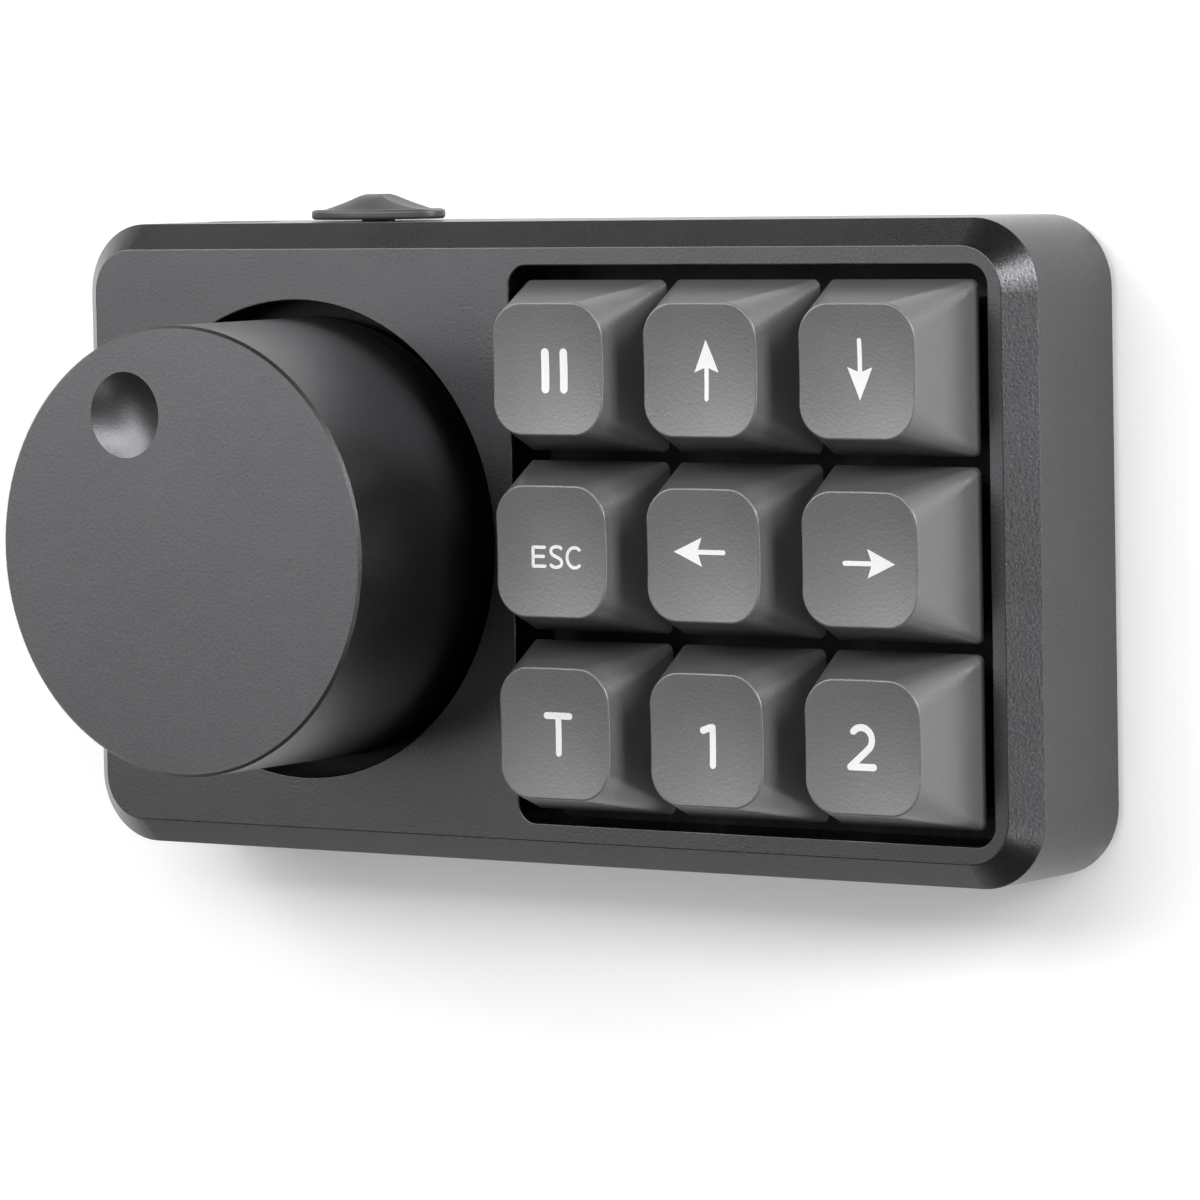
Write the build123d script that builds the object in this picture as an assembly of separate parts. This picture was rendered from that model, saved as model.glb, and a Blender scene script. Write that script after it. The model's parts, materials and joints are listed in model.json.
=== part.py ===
from build123d import *
import math
import os

os.makedirs("parts", exist_ok=True)

# Lengths are in millimetres. X runs along the body, Y towards the power slider and
# Z out of the key face. Z is zero at the bottom of the feet.

# Key grid
key_names = [["pause", "up", "down"], ["escape", "left", "right"], ["t", "one", "two"]]
key_rows = len(key_names)
key_columns = len(key_names[0])
key_gap = 1.05
key_travel = 4.0
well_gap = 1.55
well_corner_radius = 2.2

# Keycap
cap_base_radius = 0.8
cap_taper = 2.07
cap_top_radius = 3.6
cap_height = 9.1
cap_wall = 1.4
cap_inner_radius = 0.9
cap_roof = 1.6
cap_edge_radius = 0.2
cap_blank = 1.0
cap_dish_radius = 50.0
cap_sink = 1.0
cap_post_radius = 2.75
cap_post_gap = 0.1

# Key switch
switch_seat_height = 5.0
switch_body_size = 13.8
switch_spacing = 5.25
switch_flange_size = 15.4
switch_flange_thickness = 1.0
switch_corner_radius = 0.6
switch_top_base_size = 14.2
switch_top_roof_size = 10.6
switch_cover_rise = 0.4
switch_floor = 2.5
switch_post_radius = 2.0
switch_post_floor = 0.5
switch_post_gap = 0.4
stem_length = 7.2
stem_width = 5.6
stem_clearance = 0.2
stem_end_gap = 0.3
stem_stop_gap = 1.2
stem_pole_radius = 1.1
stem_pole_clearance = 0.2
cross_span = 4.0
cross_arm = 1.2
cross_height = 3.6
cross_clearance = 0.03
pin_radius = 0.6
pin_tail = 0.6
pin_offset_shares = [(-0.276, 0.184), (0.184, 0.368)]
spring_turns = 4
spring_coil_radius = 2.05
spring_wire_radius = 0.17
spring_clearance = 0.35
spring_seat_height = 0.8
spring_end_gap = 0.05

# Switch plate and main board
plate_thickness = 1.5
plate_clearance = 0.3
plate_cutout_clearance = 0.1
board_thickness = 1.6
board_gap = 2.1
board_clearance = 0.4
board_hole_clearance = 0.15

# Housing and bottom cover
edge_margin = 4.4
side_margin = 4.65
face_web = 2.5
edge_chamfer = 2.77
edge_break = 0.15
corner_radius = 7.5
wall_thickness = 2.4
cover_ledge = 1.2
cover_thickness = 1.5
cover_clearance = 0.1
column_radius = 2.75
column_bite = 0.25
column_gap = 0.3
boss_radius = 2.3
boss_gap = 1.5

# Screws
screw_radius = 1.0
screw_clearance = 0.05
screw_pass_clearance = 0.2
screw_head_radius = 1.9
screw_head_height = 0.9
screw_head_clearance = 0.1
cover_screw_grip = 4.5
board_screw_grip = 3.2

# Feet
foot_radius = 5.0
foot_proud = 1.2
foot_recess = 0.5
foot_inset = 12.0
foot_clearance = 0.05
foot_edge_radius = 0.4

# Knob
knob_radius = 24.0
knob_rise = 21.25
knob_side_gap = 1.95
knob_floor_gap = 0.9
knob_push_travel = 0.5
knob_wall = 2.0
knob_roof = 4.5
knob_edge_chamfer = 0.3
dimple_radius = 4.6
dimple_depth = 1.2
dimple_offset = 16.0
dimple_angle = 115.4
hub_radius = 6.5
hub_web_thickness = 3.0
hub_clearance = 0.05
hub_lift = 0.4
hub_ribs = 6
hub_rib_thickness = 1.6
hub_rib_height = 9.0

# Rotary encoder
encoder_size = 12.4
encoder_height = 6.5
encoder_corner_radius = 0.5
encoder_pocket_gap = 0.8
encoder_floor = 1.2
encoder_roof = 1.0
encoder_rotor_radius = 4.1
encoder_rotor_thickness = 1.2
encoder_rotor_clearance = 0.3
encoder_rotor_gap = 0.1
recess_floor = 1.2
bushing_radius = 3.5
bushing_clearance = 0.1
bushing_exposed = 1.0
washer_radius = 6.0
washer_thickness = 0.5
nut_across_flats = 10.0
nut_thickness = 2.0
nut_clearance = 0.05
shaft_radius = 3.0
shaft_clearance = 0.05
shaft_flat = 1.5
shaft_flat_clearance = 0.02
shaft_grip = 10.0
shaft_end_gap = 0.3
plunger_radius = 3.2
plunger_thickness = 0.8
plunger_clearance = 0.1
dome_radius = 3.0
dome_thickness = 0.2
dome_gap = 0.05

# Power slider and its switch
slider_offset = 4.05
slider_travel = 3.0
slider_length = 17.1
slider_width = 8.2
slider_lift = 0.2
slider_plate = 1.1
slider_plate_round = 0.4
slider_hump = 1.65
hump_base_length = 13.6
hump_base_width = 6.8
hump_top_length = 3.2
hump_top_width = 3.2
hump_top_round = 3.0
scoop_radius = 16.0
scoop_reach = 8.5
scoop_sink = 0.2
slider_post_length = 3.2
slider_post_height = 1.8
slider_post_clearance = 0.2
slider_post_end = 0.3
lever_length = 2.0
lever_height = 1.0
lever_clearance = 0.05
lever_bite = 1.1
lever_root = 1.2
slide_switch_length = 9.0
slide_switch_depth = 4.0
slide_switch_wall_gap = 0.5

# Charging socket
usb_inset = 15.35
usb_width = 8.94
usb_height = 3.26
usb_depth = 7.35
usb_wall = 0.3
usb_back = 1.4
usb_tongue_width = 6.7
usb_tongue_thickness = 0.7
usb_tongue_setback = 0.9
usb_port_clearance = 0.2
usb_port_setback = 0.5

# Battery and electronics
battery_width = 15.0
battery_length = 36.0
battery_thickness = 4.0
battery_round = 1.2
battery_wall_gap = 1.0
tape_thickness = 0.3
tape_inset = 1.0
connector_width = 4.0
connector_length = 6.0
connector_height = 3.0
connector_gap = 1.0
connector_inset = 4.0
module_width = 12.0
module_length = 16.0
module_thickness = 2.0
module_offset = 16.5
module_setback = 12.0
chip_size = 7.0
chip_thickness = 0.9
chip_setback = 8.0

# Plan of the body, worked out from what it holds
key_pitch = switch_body_size + switch_spacing
cap_base_size = key_pitch - key_gap
cap_top_size = cap_base_size - 2 * cap_taper
well_size_x = (key_columns - 1) * key_pitch + cap_base_size + 2 * well_gap
well_size_y = (key_rows - 1) * key_pitch + cap_base_size + 2 * well_gap
recess_radius = knob_radius + knob_side_gap
body_length = 2 * edge_margin + 2 * recess_radius + face_web + well_size_x
body_width = well_size_y + 2 * side_margin
knob_x = -body_length / 2 + edge_margin + recess_radius
well_x = body_length / 2 - edge_margin - well_size_x / 2
plate_length = well_size_x + 2 * (edge_margin - wall_thickness - plate_clearance)
plate_width = well_size_y + 2 * (side_margin - wall_thickness - plate_clearance)
column_inset = wall_thickness + column_radius - column_bite
slider_x = knob_x + slider_offset
usb_x = -body_length / 2 + usb_inset

# Heights, worked out from the bottom up
back_z = foot_proud
cover_top_z = back_z + cover_thickness
board_bottom_z = cover_top_z + board_gap
board_top_z = board_bottom_z + board_thickness
plate_top_z = board_top_z + switch_seat_height
plate_bottom_z = plate_top_z - plate_thickness
flange_top_z = plate_top_z + switch_flange_thickness
cap_base_z = flange_top_z + key_travel + stem_stop_gap
switch_top_z = cap_base_z + switch_cover_rise
face_z = cap_base_z + cap_sink
encoder_top_z = board_top_z + encoder_height
recess_floor_z = encoder_top_z + recess_floor
knob_bottom_z = recess_floor_z + knob_floor_gap
knob_top_z = face_z + knob_rise
slider_z = (back_z + face_z - edge_chamfer) / 2
slider_proud = slider_lift + slider_plate + slider_hump

# The middle of the whole part, slider included, is at Y zero
body_y = -slider_proud / 2


def save(name, solids):
    placed = [Pos(0, body_y, 0) * solid for solid in solids]
    shape = placed[0] if len(placed) == 1 else Compound(children=placed)
    export_step(shape, "parts/" + name + ".step")


def upright(sketch, bottom, top):
    return extrude(Pos(0, 0, bottom) * sketch, top - bottom)


def cylinder(radius, bottom, top):
    return upright(Circle(radius), bottom, top)


def ball(radius):
    return Rot(90, 0, 0) * Sphere(radius)


def block(length, width, bottom, top):
    return upright(Rectangle(length, width), bottom, top)


def corner_places(inset):
    half_length = body_length / 2 - inset
    half_width = body_width / 2 - inset
    return [(x * half_length, y * half_width) for x in (-1, 1) for y in (-1, 1)]


def boss_places():
    switch_left = slider_x + slider_travel / 2 - slide_switch_length / 2
    usb_right = usb_x + usb_width / 2
    left = (switch_left + usb_right) / 2
    right = well_x - plate_length / 2 - boss_radius - boss_gap
    half_width = body_width / 2 - wall_thickness - boss_radius - board_clearance
    return [(x, y * half_width) for x in (left, right) for y in (-1, 1)]


def key_places():
    places = {}
    for row in range(key_rows):
        for column in range(key_columns):
            x = well_x + (column - (key_columns - 1) / 2) * key_pitch
            y = ((key_rows - 1) / 2 - row) * key_pitch
            places[key_names[row][column]] = Pos(x, y, 0)
    return places


def pin_places():
    return [Pos(x * switch_body_size, y * switch_body_size, 0) for x, y in pin_offset_shares]


# Housing: machined from one block, open at the back
def housing():
    outline = RectangleRounded(body_length, body_width, corner_radius)
    body = upright(outline, back_z, face_z)
    body = chamfer(body.edges().group_by(Axis.Z)[-1], edge_chamfer)
    well = RectangleRounded(well_size_x, well_size_y, well_corner_radius)
    body -= Pos(well_x, 0, 0) * upright(well, back_z, face_z)
    body -= Pos(knob_x, 0, 0) * cylinder(recess_radius, recess_floor_z, face_z)
    chamfer_z = face_z - edge_chamfer
    upper_edges = body.edges().filter_by_position(Axis.Z, face_z, face_z)
    lower_edges = body.edges().filter_by_position(Axis.Z, chamfer_z, chamfer_z)
    body = fillet(upper_edges + lower_edges, edge_break)

    inner_length = body_length - 2 * wall_thickness
    inner_width = body_width - 2 * wall_thickness
    inner = RectangleRounded(inner_length, inner_width, corner_radius - wall_thickness)
    body -= upright(inner, back_z, plate_top_z)
    ledge_inset = wall_thickness - cover_ledge
    ledge = RectangleRounded(
        body_length - 2 * ledge_inset, body_width - 2 * ledge_inset, corner_radius - ledge_inset
    )
    body -= upright(ledge, back_z, cover_top_z)
    pocket = encoder_size + 2 * encoder_pocket_gap
    body -= Pos(knob_x, 0, 0) * block(pocket, pocket, plate_top_z, encoder_top_z)
    bore = bushing_radius + bushing_clearance
    body -= Pos(knob_x, 0, 0) * cylinder(bore, encoder_top_z, recess_floor_z)

    pilot = screw_radius + screw_clearance
    for x, y in corner_places(column_inset):
        column = cylinder(column_radius, cover_top_z, plate_bottom_z - column_gap)
        body += Pos(x, y, 0) * column
    for x, y in boss_places():
        body += Pos(x, y, 0) * cylinder(boss_radius, board_top_z, plate_top_z)
    for x, y in corner_places(column_inset):
        depth = cover_screw_grip + screw_clearance
        body -= Pos(x, y, 0) * cylinder(pilot, cover_top_z, cover_top_z + depth)
    for x, y in boss_places():
        depth = board_screw_grip + screw_clearance
        body -= Pos(x, y, 0) * cylinder(pilot, board_top_z, board_top_z + depth)

    slot_length = slider_post_length + slider_travel + 2 * slider_post_clearance
    slot_height = slider_post_height + 2 * slider_post_clearance
    slot = Box(slot_length, 2 * wall_thickness, slot_height)
    body -= Pos(slider_x + slider_travel / 2, body_width / 2, slider_z) * slot
    port_width = usb_width + 2 * usb_port_clearance
    port_height = usb_height + 2 * usb_port_clearance
    port = extrude(SlotOverall(port_width, port_height), wall_thickness, both=True)
    port_z = board_top_z + usb_height / 2
    body -= Pos(usb_x, body_width / 2, port_z) * (Rot(90, 0, 0) * port)
    return body


# Bottom cover: a plate let into the back, with recesses for the feet and screw heads
def bottom_cover():
    inset = wall_thickness - cover_ledge + cover_clearance
    outline = RectangleRounded(body_length - 2 * inset, body_width - 2 * inset, corner_radius - inset)
    cover = upright(outline, back_z, cover_top_z)
    for x, y in corner_places(column_inset):
        hole = cylinder(screw_radius + screw_pass_clearance, back_z, cover_top_z)
        seat = cylinder(screw_head_radius + screw_head_clearance, back_z, back_z + screw_head_height)
        cover -= Pos(x, y, 0) * (hole + seat)
    for x, y in corner_places(foot_inset):
        cover -= Pos(x, y, 0) * cylinder(foot_radius + foot_clearance, back_z, back_z + foot_recess)
    return cover


def cover_screws():
    head_top = back_z + screw_head_height
    head = cylinder(screw_head_radius, back_z, head_top)
    screw = head + cylinder(screw_radius, head_top, cover_top_z + cover_screw_grip)
    return [Pos(x, y, 0) * screw for x, y in corner_places(column_inset)]


def rubber_feet():
    foot = cylinder(foot_radius, 0, back_z + foot_recess)
    foot = fillet(foot.edges().group_by(Axis.Z)[0], foot_edge_radius)
    return [Pos(x, y, 0) * foot for x, y in corner_places(foot_inset)]


# Main board: notched round the cover columns, drilled for switches and screws
def main_board():
    inset = wall_thickness + board_clearance
    length = body_length - 2 * inset
    board = upright(Rectangle(length, body_width - 2 * inset), board_bottom_z, board_top_z)
    reach = column_radius + column_inset - inset
    for x, y in corner_places(inset):
        board -= Pos(x, y, 0) * block(2 * reach, 2 * reach, board_bottom_z, board_top_z)
    hole = cylinder(screw_radius + screw_pass_clearance, board_bottom_z, board_top_z)
    for x, y in boss_places():
        board -= Pos(x, y, 0) * hole
    post_hole = cylinder(switch_post_radius + board_hole_clearance, board_bottom_z, board_top_z)
    pin_hole = cylinder(pin_radius + board_hole_clearance, board_bottom_z, board_top_z)
    for place in key_places().values():
        board -= place * post_hole
        for pin in pin_places():
            board -= place * pin * pin_hole
    return board


def board_screws():
    head = cylinder(screw_head_radius, board_bottom_z - screw_head_height, board_bottom_z)
    screw = head + cylinder(screw_radius, board_bottom_z, board_top_z + board_screw_grip)
    return [Pos(x, y, 0) * screw for x, y in boss_places()]


def switch_plate():
    radius = corner_radius - wall_thickness - plate_clearance
    outline = RectangleRounded(plate_length, plate_width, radius)
    plate = Pos(well_x, 0, 0) * upright(outline, plate_bottom_z, plate_top_z)
    size = switch_body_size + 2 * plate_cutout_clearance
    for place in key_places().values():
        plate -= place * block(size, size, plate_bottom_z, plate_top_z)
    return plate


# Key switch: the base clips into the plate, the top closes it, the stem runs in both
pocket_floor_z = board_top_z + switch_floor
stem_bottom_z = pocket_floor_z + key_travel + stem_end_gap
spring_seat_z = board_top_z + spring_seat_height
post_bottom_z = cover_top_z + switch_post_gap
bore_floor_z = post_bottom_z + switch_post_floor
pole_bottom_z = bore_floor_z + key_travel + stem_end_gap
stem_pocket_length = stem_length + 2 * stem_clearance
stem_pocket_width = stem_width + 2 * stem_clearance


def switch_base():
    body = RectangleRounded(switch_body_size, switch_body_size, switch_corner_radius)
    flange = RectangleRounded(switch_flange_size, switch_flange_size, switch_corner_radius)
    base = upright(body, board_top_z, plate_top_z)
    base += upright(flange, plate_top_z, flange_top_z)
    base += cylinder(switch_post_radius, post_bottom_z, board_top_z)
    base -= block(stem_pocket_length, stem_pocket_width, pocket_floor_z, flange_top_z)
    spring_bore = spring_coil_radius + spring_wire_radius + spring_clearance
    base -= cylinder(spring_bore, spring_seat_z, pocket_floor_z)
    base -= cylinder(stem_pole_radius + stem_pole_clearance, bore_floor_z, spring_seat_z)
    return base


def switch_top():
    low = RectangleRounded(switch_top_base_size, switch_top_base_size, switch_corner_radius)
    high = RectangleRounded(switch_top_roof_size, switch_top_roof_size, switch_corner_radius)
    top = loft([Pos(0, 0, flange_top_z) * low, Pos(0, 0, switch_top_z) * high])
    return top - block(stem_pocket_length, stem_pocket_width, flange_top_z, switch_top_z)


def switch_pins():
    pin = cylinder(pin_radius, board_bottom_z - pin_tail, board_top_z)
    return [place * offset * pin for place in key_places().values() for offset in pin_places()]


def cross(span, arm, bottom, top):
    return block(span, arm, bottom, top) + block(arm, span, bottom, top)


def switch_stem():
    stem = block(stem_length, stem_width, stem_bottom_z, switch_top_z)
    stem += cylinder(stem_pole_radius, pole_bottom_z, stem_bottom_z)
    return stem + cross(cross_span, cross_arm, switch_top_z, switch_top_z + cross_height)


# Key spring: one wire swept along pairs of arcs that follow a helix in half turns
def key_spring():
    start = spring_seat_z + spring_wire_radius + spring_end_gap
    end = stem_bottom_z - spring_wire_radius - spring_end_gap
    steps = 2 * spring_turns
    rise = (end - start) / steps

    def point(step):
        side = 1 if step % 2 == 0 else -1
        return Vector(side * spring_coil_radius, 0, start + step * rise)

    def tangent(step):
        side = 1 if step % 2 == 0 else -1
        return Vector(0, side * math.pi * spring_coil_radius, rise).normalized()

    edges = []
    for step in range(steps):
        first, last = point(step), point(step + 1)
        leave, arrive = tangent(step), tangent(step + 1)
        chord = last - first
        along = chord.dot(leave + arrive)
        spread = 2 * (1 - leave.dot(arrive))
        reach = (math.sqrt(along ** 2 + spread * chord.dot(chord)) - along) / spread
        middle = (first + leave * reach + last - arrive * reach) / 2
        joint = last - arrive * reach - first - leave * reach
        edges.append(Edge.make_tangent_arc(first, leave, middle))
        edges.append(Edge.make_tangent_arc(middle, joint.normalized(), last))
    wire = Wire(edges)
    section = Plane(origin=point(0), z_dir=tangent(0)) * Circle(spring_wire_radius)
    gap = (end - start) / spring_turns - 2 * spring_wire_radius
    print("gap between turns of a key spring:", round(gap, 3))
    return sweep(section, path=wire)


# Keycap: tapered shell with a dished top and a post that takes the stem's cross
cap_draft = (cap_base_size - cap_top_size) / cap_height
cap_swell = (cap_top_radius - cap_base_radius) / cap_height


def cap_section(height):
    size = cap_base_size - cap_draft * height
    return Pos(0, 0, cap_base_z + height) * RectangleRounded(size, size, cap_base_radius + cap_swell * height)


def keycap():
    half_top = cap_top_size / 2
    dish_z = cap_height + math.sqrt(cap_dish_radius ** 2 - half_top ** 2)
    dish_floor = dish_z - cap_dish_radius
    cap = loft([cap_section(0), cap_section(cap_height + cap_blank)])
    cap -= Pos(0, 0, cap_base_z + dish_z) * ball(cap_dish_radius)
    rim = cap.faces().filter_by(GeomType.SPHERE)[0].edges()
    cap = fillet(rim, cap_edge_radius)

    ceiling = dish_floor - cap_roof
    inner_base = cap_base_size - 2 * cap_wall
    inner_top = inner_base - cap_draft * ceiling
    low = Pos(0, 0, cap_base_z) * RectangleRounded(inner_base, inner_base, cap_inner_radius)
    high = Pos(0, 0, cap_base_z + ceiling) * RectangleRounded(inner_top, inner_top, cap_inner_radius)
    cap -= loft([low, high])
    post_bottom = switch_top_z + cap_post_gap
    cap += cylinder(cap_post_radius, post_bottom, cap_base_z + ceiling + cap_roof / 2)
    span = cross_span + 2 * cross_clearance
    arm = cross_arm + 2 * cross_clearance
    return cap - cross(span, arm, post_bottom, switch_top_z + cross_height + cap_post_gap)


# Rotary encoder under the recess floor
encoder_floor_z = board_top_z + encoder_floor
dome_top_z = encoder_floor_z + dome_thickness
plunger_bottom_z = dome_top_z + knob_push_travel + dome_gap
plunger_top_z = plunger_bottom_z + plunger_thickness
rotor_top_z = encoder_top_z - encoder_roof - encoder_rotor_gap
nut_bottom_z = recess_floor_z + washer_thickness
nut_top_z = nut_bottom_z + nut_thickness
bushing_top_z = nut_top_z + bushing_exposed
hub_bottom_z = bushing_top_z + knob_push_travel + hub_lift
shaft_top_z = hub_bottom_z + shaft_grip


def encoder_case():
    outline = RectangleRounded(encoder_size, encoder_size, encoder_corner_radius)
    case = upright(outline, board_top_z, encoder_top_z)
    case += cylinder(bushing_radius, encoder_top_z, bushing_top_z)
    case -= cylinder(plunger_radius + plunger_clearance, encoder_floor_z, plunger_top_z)
    rotor_bore = encoder_rotor_radius + encoder_rotor_clearance
    case -= cylinder(rotor_bore, plunger_top_z, encoder_top_z - encoder_roof)
    case -= cylinder(shaft_radius + shaft_clearance, plunger_top_z, bushing_top_z)
    return Pos(knob_x, 0, 0) * case


def encoder_dome():
    return Pos(knob_x, 0, 0) * cylinder(dome_radius, encoder_floor_z, dome_top_z)


def encoder_plunger():
    return Pos(knob_x, 0, 0) * cylinder(plunger_radius, plunger_bottom_z, plunger_top_z)


def d_section(radius, flat, bottom, top):
    cut = Pos(flat + radius, 0, 0) * block(2 * radius, 2 * radius, bottom, top)
    return cylinder(radius, bottom, top) - cut


def encoder_shaft():
    shaft = cylinder(shaft_radius, plunger_top_z, hub_bottom_z)
    shaft += cylinder(encoder_rotor_radius, rotor_top_z - encoder_rotor_thickness, rotor_top_z)
    shaft += d_section(shaft_radius, shaft_flat, hub_bottom_z, shaft_top_z)
    return Pos(knob_x, 0, 0) * shaft


def encoder_washer():
    washer = cylinder(washer_radius, recess_floor_z, nut_bottom_z)
    washer -= cylinder(bushing_radius + nut_clearance, recess_floor_z, nut_bottom_z)
    return Pos(knob_x, 0, 0) * washer


def encoder_nut():
    hexagon = RegularPolygon(nut_across_flats / 2, 6, major_radius=False)
    nut = upright(hexagon, nut_bottom_z, nut_top_z)
    nut -= cylinder(bushing_radius + nut_clearance, nut_bottom_z, nut_top_z)
    return Pos(knob_x, 0, 0) * nut


# Knob: a turned shell with a finger dimple, on a hub that grips the shaft
shell_ceiling_z = knob_top_z - knob_roof


def knob_shell():
    shell = cylinder(knob_radius, knob_bottom_z, knob_top_z)
    rims = shell.edges().group_by(Axis.Z)
    shell = chamfer(rims[0] + rims[-1], knob_edge_chamfer)
    shell -= cylinder(knob_radius - knob_wall, knob_bottom_z, shell_ceiling_z)
    ball_radius = (dimple_radius ** 2 + dimple_depth ** 2) / (2 * dimple_depth)
    angle = math.radians(dimple_angle)
    ball_z = knob_top_z + ball_radius - dimple_depth
    dimple = Pos(dimple_offset * math.cos(angle), dimple_offset * math.sin(angle), ball_z)
    return Pos(knob_x, 0, 0) * (shell - dimple * ball(ball_radius))


def knob_hub():
    web_radius = knob_radius - knob_wall - hub_clearance
    web_bottom = shell_ceiling_z - hub_web_thickness
    hub = cylinder(hub_radius, hub_bottom_z, shell_ceiling_z)
    hub += cylinder(web_radius, web_bottom, shell_ceiling_z)
    rib = block(2 * web_radius, hub_rib_thickness, web_bottom - hub_rib_height, shell_ceiling_z)
    rib &= cylinder(web_radius, web_bottom - hub_rib_height, shell_ceiling_z)
    for turn in range(hub_ribs // 2):
        hub += Rot(0, 0, turn * 360 / hub_ribs) * rib
    bore_radius = shaft_radius + hub_clearance
    bore_flat = shaft_flat + shaft_flat_clearance
    hub -= d_section(bore_radius, bore_flat, hub_bottom_z, shaft_top_z + shaft_end_gap)
    return Pos(knob_x, 0, 0) * hub


# Power slider: built lying on its back, then turned onto the upper wall
wall_place = Pos(slider_x, body_width / 2, slider_z) * Rot(-90, 0, 0)


def slider_cap():
    plate_top = slider_lift + slider_plate
    plate = upright(Ellipse(slider_length / 2, slider_width / 2), slider_lift, plate_top)
    rims = plate.edges().group_by(Axis.Z)
    plate = fillet(rims[0] + rims[-1], slider_plate_round)
    low = Pos(0, 0, plate_top) * Ellipse(hump_base_length / 2, hump_base_width / 2)
    high = Pos(0, 0, slider_proud) * Ellipse(hump_top_length / 2, hump_top_width / 2)
    hump = loft([low, high])
    hump = fillet(hump.edges().group_by(Axis.Z)[-1], hump_top_round)
    cap = plate + hump
    scoop_z = plate_top + scoop_radius - scoop_sink
    for side in (-1, 1):
        cap -= Pos(side * scoop_reach, 0, scoop_z) * ball(scoop_radius)
    post_end = slider_post_end - wall_thickness
    cap += block(slider_post_length, slider_post_height, post_end, slider_lift + slider_plate / 2)
    socket_length = lever_length + 2 * lever_clearance
    socket_height = lever_height + 2 * lever_clearance
    cap -= block(socket_length, socket_height, post_end, post_end + lever_bite + lever_clearance)
    return wall_place * cap


def slide_switch_lever():
    tip = slider_post_end - wall_thickness + lever_bite
    root = -wall_thickness - slide_switch_wall_gap - lever_root
    return wall_place * block(lever_length, lever_height, root, tip)


def slide_switch_body():
    front = -wall_thickness - slide_switch_wall_gap
    height = 2 * (slider_z - board_top_z)
    body = block(slide_switch_length, height, front - slide_switch_depth, front)
    groove_length = lever_length + slider_travel + 2 * slider_post_clearance
    groove_height = lever_height + 2 * lever_clearance
    groove = block(groove_length, groove_height, front - lever_root - lever_clearance, front)
    return wall_place * (Pos(slider_travel / 2, 0, 0) * (body - groove))


# Charging socket: a drawn shell round a tongue, with its mouth in the upper wall
def usb_socket():
    shell = extrude(SlotOverall(usb_width, usb_height), usb_depth)
    mouth = SlotOverall(usb_width - 2 * usb_wall, usb_height - 2 * usb_wall)
    shell -= Pos(0, 0, usb_back) * extrude(mouth, usb_depth)
    tongue = Rectangle(usb_tongue_width, usb_tongue_thickness)
    shell += extrude(tongue, usb_depth - usb_tongue_setback)
    mouth_y = body_width / 2 - usb_port_setback
    return Pos(usb_x, mouth_y - usb_depth, board_top_z + usb_height / 2) * (Rot(-90, 0, 0) * shell)


# Battery, its tape and connector, and the two electronic modules
battery_x = -body_length / 2 + wall_thickness + battery_wall_gap + battery_width / 2
battery_bottom_z = board_top_z + tape_thickness


def battery():
    cell = block(battery_width, battery_length, battery_bottom_z, battery_bottom_z + battery_thickness)
    return Pos(battery_x, 0, 0) * fillet(cell.edges().filter_by(Axis.Y), battery_round)


def battery_tape():
    width = battery_width - 2 * battery_round
    tape = block(width, battery_length - 2 * tape_inset, board_top_z, battery_bottom_z)
    return Pos(battery_x, 0, 0) * tape


def battery_connector():
    x = battery_x + battery_width / 2 + connector_gap + connector_width / 2
    body = block(connector_width, connector_length, board_top_z, board_top_z + connector_height)
    return Pos(x, connector_inset - battery_length / 2, 0) * body


def radio_module():
    module = block(module_width, module_length, board_top_z, board_top_z + module_thickness)
    return Pos(knob_x + module_offset, -module_setback, 0) * module


def controller_chip():
    chip = block(chip_size, chip_size, board_top_z, board_top_z + chip_thickness)
    return Pos(knob_x + module_offset, chip_setback, 0) * chip


single_pieces = [
    housing, bottom_cover, main_board, switch_plate,
    encoder_case, encoder_dome, encoder_plunger, encoder_shaft, encoder_washer, encoder_nut,
    knob_shell, knob_hub, slider_cap, slide_switch_lever, slide_switch_body,
    usb_socket, battery, battery_tape, battery_connector, radio_module, controller_chip,
]
for piece in single_pieces:
    save(piece.__name__, [piece()])

for piece in [cover_screws, rubber_feet, board_screws, switch_pins]:
    save(piece.__name__, piece())

places = key_places()
base = switch_base()
top = switch_top()
save("switch_bases", [place * base for place in places.values()])
save("switch_tops", [place * top for place in places.values()])

cap = keycap()
stem = switch_stem()
spring = key_spring()
for name, place in places.items():
    save("keycap_" + name, [place * cap])
    save("switch_stem_" + name, [place * stem])
    save("key_spring_" + name, [place * spring])
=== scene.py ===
import json
import math
import bmesh
import bpy
import numpy as np
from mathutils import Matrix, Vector


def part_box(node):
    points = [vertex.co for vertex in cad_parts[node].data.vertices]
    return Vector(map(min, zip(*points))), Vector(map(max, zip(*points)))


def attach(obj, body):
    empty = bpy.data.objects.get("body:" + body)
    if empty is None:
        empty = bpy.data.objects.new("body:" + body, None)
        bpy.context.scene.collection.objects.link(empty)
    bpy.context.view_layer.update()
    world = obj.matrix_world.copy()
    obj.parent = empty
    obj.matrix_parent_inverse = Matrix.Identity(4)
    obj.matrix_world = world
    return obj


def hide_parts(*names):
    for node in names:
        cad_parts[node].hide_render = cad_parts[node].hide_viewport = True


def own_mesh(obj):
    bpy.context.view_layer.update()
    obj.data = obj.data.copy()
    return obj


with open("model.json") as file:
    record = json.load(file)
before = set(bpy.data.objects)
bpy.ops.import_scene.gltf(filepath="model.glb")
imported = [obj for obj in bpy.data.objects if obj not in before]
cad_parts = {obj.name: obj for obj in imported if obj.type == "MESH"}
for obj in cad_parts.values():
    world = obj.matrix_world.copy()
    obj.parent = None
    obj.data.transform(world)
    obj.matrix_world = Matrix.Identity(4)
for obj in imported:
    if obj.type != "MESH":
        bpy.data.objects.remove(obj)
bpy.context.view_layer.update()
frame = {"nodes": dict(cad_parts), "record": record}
mm = 0.001
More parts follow.
